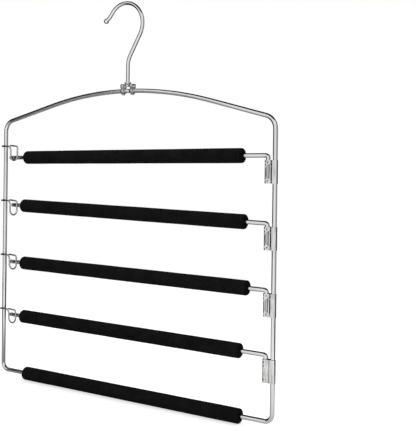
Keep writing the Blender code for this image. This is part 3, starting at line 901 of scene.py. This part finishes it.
def floor_finish():
    """A white floor that keeps the shadow and melts into the white surround. Chrome mirrors it
    grey with a painted glow that brightens towards the front, and dark beyond its left edge and back
    corner.
    """
    material, tree, _ = new_material("floor_paper")
    tree.nodes.clear()
    paper = add(tree, 'ShaderNodeBsdfDiffuse', {"Color": (0.66, 0.645, 0.63, 1.0)})
    glow = add(tree, 'ShaderNodeEmission', {"Color": (1.0, 1.0, 1.0, 1.0), "Strength": 0.62})
    both = add(tree, 'ShaderNodeAddShader', {0: paper.outputs[0], 1: glow.outputs[0]})
    plain = add(tree, 'ShaderNodeBsdfDiffuse', {"Color": (0.38, 0.375, 0.37, 1.0)})
    # Painted glow, seen only in reflections: an emission that grows towards the front of the floor.
    place = add(tree, 'ShaderNodeTexCoord').outputs["Object"]
    forward = add(tree, 'ShaderNodeVectorMath', {0: place, 1: Vector((0.62, -0.78, 0.0))},
                  operation='DOT_PRODUCT')
    pool = add(tree, 'ShaderNodeMapRange', {
        "Value": forward.outputs["Value"], "From Min": -0.05, "From Max": 0.30, "To Min": 0.02,
        "To Max": 0.62}, interpolation_type='SMOOTHSTEP')
    sheen = add(tree, 'ShaderNodeEmission', {"Strength": pool.outputs[0]})
    painted_glow_floor = add(tree, 'ShaderNodeAddShader', {0: plain.outputs[0], 1: sheen.outputs[0]})
    ray = add(tree, 'ShaderNodeLightPath')
    across = add(tree, 'ShaderNodeSeparateXYZ', {0: place}).outputs[0]
    edge = add(tree, 'ShaderNodeMapRange', {"Value": across, "From Min": -0.43, "From Max": -0.34})
    beyond = add(tree, 'ShaderNodeBsdfDiffuse', {"Color": (0.02, 0.02, 0.02, 1.0)})
    aside = add(tree, 'ShaderNodeVectorMath', {0: place, 1: Vector((0.5, 0.87, 0.0))},
                operation='DOT_PRODUCT')
    corner = add(tree, 'ShaderNodeMapRange', {
        "Value": aside.outputs["Value"], "From Min": 0.20, "From Max": 0.30, "To Min": 1.0,
        "To Max": 0.0})
    inside = add(tree, 'ShaderNodeMath', {0: edge.outputs[0], 1: corner.outputs[0]},
                 operation='MULTIPLY')
    ended = add(tree, 'ShaderNodeMixShader', {
        0: inside.outputs[0], 1: beyond.outputs[0], 2: painted_glow_floor.outputs[0]})
    mirrored = add(tree, 'ShaderNodeMixShader', {
        0: ray.outputs["Is Glossy Ray"], 1: plain.outputs[0], 2: ended.outputs[0]})
    seen = add(tree, 'ShaderNodeMath', {
        0: ray.outputs["Is Camera Ray"], 1: ray.outputs["Is Transmission Ray"]}, operation='MAXIMUM')
    mix = add(tree, 'ShaderNodeMixShader', {
        0: seen.outputs[0], 1: mirrored.outputs[0], 2: both.outputs[0]})
    add(tree, 'ShaderNodeOutputMaterial', {0: mix.outputs[0]})
    return material


floor_mesh = bpy.data.meshes.new("floor")
floor_mesh.from_pydata([(x * floor_half, y * floor_half, floor_level)
                        for x, y in ((-1, -1), (1, -1), (1, 1), (-1, 1))], [], [(0, 1, 2, 3)])
floor_mesh.materials.append(floor_finish())
floor = placed("floor", floor_mesh)

world = bpy.data.worlds.new("studio")
bpy.context.scene.world = world
world.use_nodes = True
sky = world.node_tree
sky.nodes.clear()
outward = add(sky, 'ShaderNodeTexCoord').outputs["Generated"]
mirrored = (0.92, 0.92, 0.92, 1.0)
for aim, near, far, tone in (
        ((0.0, 1.0, 0.0), 0.20, 0.50, 0.025),
        ((0.97, 0.25, 0.0), 0.70, 0.92, 0.40),
        ((-1.0, 0.0, 0.0), 0.56, 0.70, 0.012),
        ((0.0, 0.0, 1.0), 0.68, 0.82, 0.02)):
    lean_to = add(sky, 'ShaderNodeVectorMath', {0: outward, 1: Vector(aim).normalized()},
                  operation='DOT_PRODUCT')
    patch = add(sky, 'ShaderNodeMapRange', {
        "Value": lean_to.outputs["Value"], "From Min": near, "From Max": far},
        interpolation_type='SMOOTHSTEP')
    blend = add(sky, 'ShaderNodeMix', {0: patch.outputs[0], 6: mirrored, 7: (tone, tone, tone, 1.0)},
                data_type='RGBA')
    mirrored = blend.outputs[2]
ray = add(sky, 'ShaderNodeLightPath')
ambient = add(sky, 'ShaderNodeMix', {
    0: ray.outputs["Is Glossy Ray"], 6: (0.45, 0.45, 0.45, 1.0), 7: mirrored}, data_type='RGBA')
straight = add(sky, 'ShaderNodeMath', {
    0: ray.outputs["Is Camera Ray"], 1: ray.outputs["Is Transmission Ray"]}, operation='MAXIMUM')
shown = add(sky, 'ShaderNodeMix', {
    0: straight.outputs[0], 6: ambient.outputs[2], 7: (1.0, 1.0, 1.0, 1.0)}, data_type='RGBA')
surround = add(sky, 'ShaderNodeBackground', {0: shown.outputs[2]})
add(sky, 'ShaderNodeOutputWorld', {0: surround.outputs[0]})

for name, place, size, power in (("overhead_lamp", (0.1, 0.25, 1.1), 1.0, 9.0),
                                 ("front_lamp", (0.7, -1.1, 0.5), 0.8, 7.0)):
    lamp = bpy.data.lights.new(name, 'AREA')
    lamp.shape = 'DISK'
    lamp.size = size
    lamp.energy = power
    holder = placed(name, lamp)
    holder.location = place
    holder.rotation_euler = (lamp_aim - Vector(place)).to_track_quat('-Z', 'Y').to_euler()
    holder.visible_glossy = False

camera_data = bpy.data.cameras.new("photo_camera")
camera_data.sensor_width = 36.0
camera_data.lens = 71.1
camera_data.shift_y = -0.1273
camera = placed("photo_camera", camera_data)
camera.matrix_world = (Matrix.Translation(camera_place) @ Matrix.Rotation(camera_turn, 4, 'Z')
                       @ Matrix.Rotation(math.pi / 2, 4, 'X')
                       @ Matrix.Rotation(camera_roll, 4, 'Z'))
bpy.context.scene.camera = camera
bpy.context.scene.view_settings.view_transform = 'Standard'
